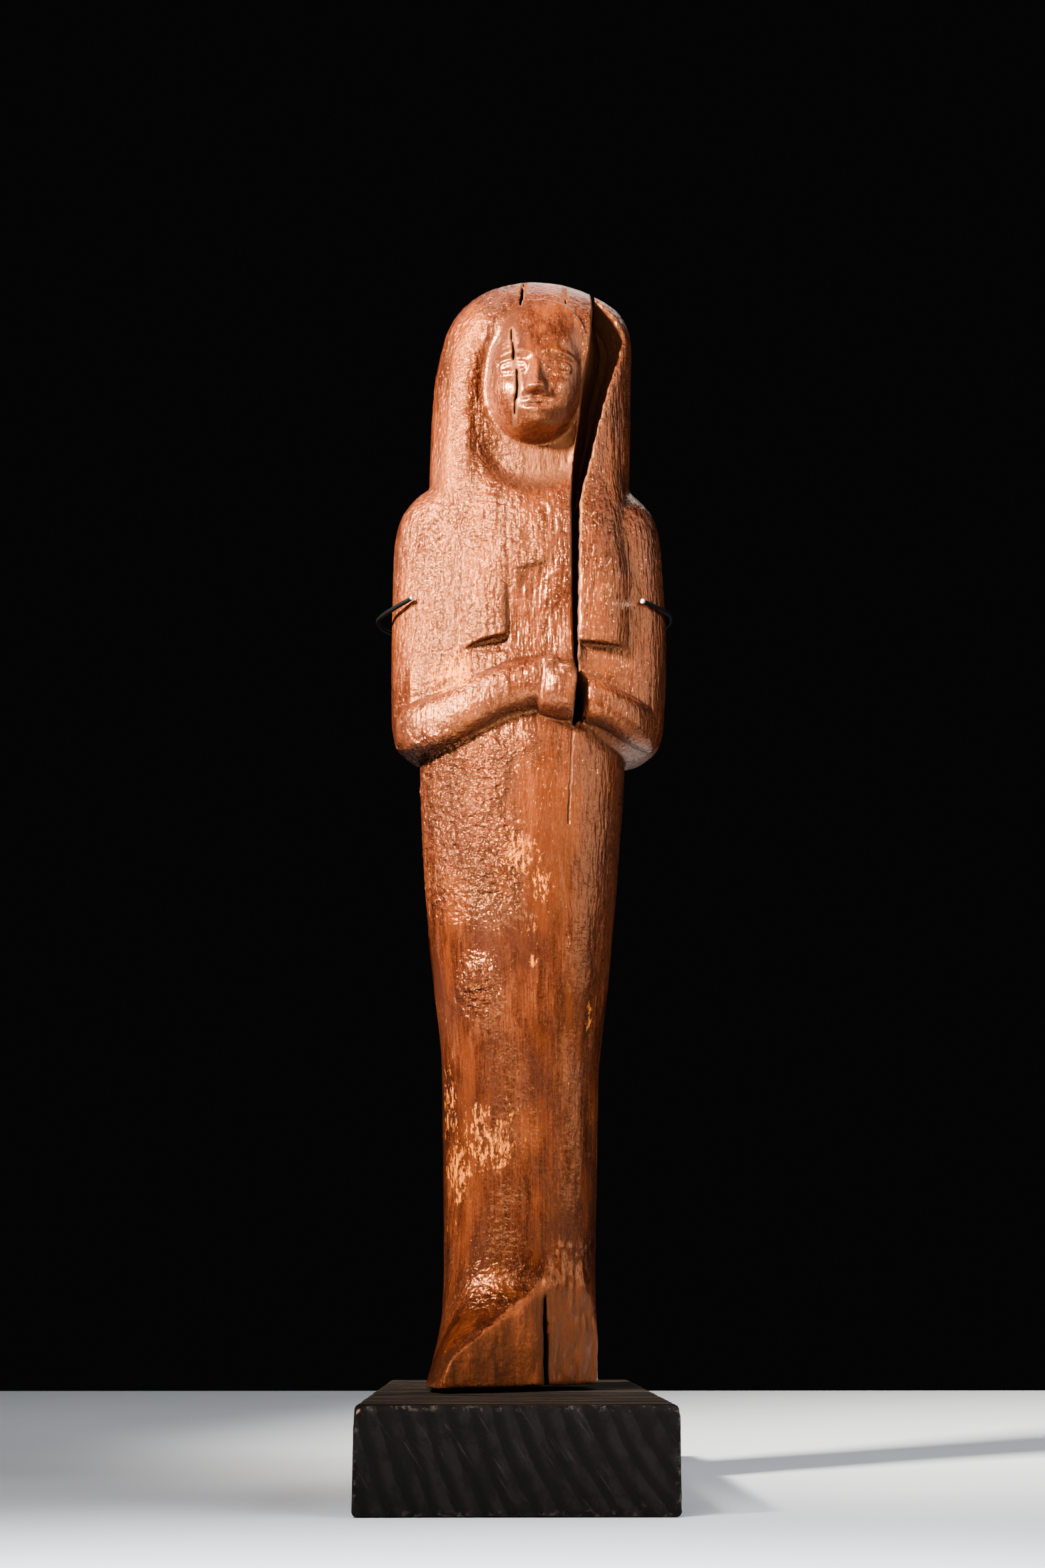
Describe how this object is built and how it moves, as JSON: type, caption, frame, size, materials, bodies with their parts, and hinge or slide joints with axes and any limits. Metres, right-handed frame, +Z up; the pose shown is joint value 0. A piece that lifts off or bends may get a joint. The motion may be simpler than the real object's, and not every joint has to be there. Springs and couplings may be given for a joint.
{
  "type": "ushabti figurine on a display stand",
  "caption": "Carved wooden mummiform ushabti with crossed hands and tripartite wig, split by age, held upright on a black wooden block by a wire cradle.",
  "frame": {"origin": "middle of the underside of the block", "axes": "+Z up, the figure faces -Y, +X towards its own left hand"},
  "size_m": [0.0653, 0.14, 0.2598],
  "materials": {
    "figure_wood": "worn satin, waxed by age",
    "stained_wood": "matt black stain",
    "black_steel": "satin black"
  },
  "bodies": {
    "root": {"figurine": "figure_wood", "plinth_block": "stained_wood", "cradle_rod": "black_steel", "cradle_prong_left": "black_steel", "cradle_prong_right": "black_steel"}
  },
  "joints": []
}
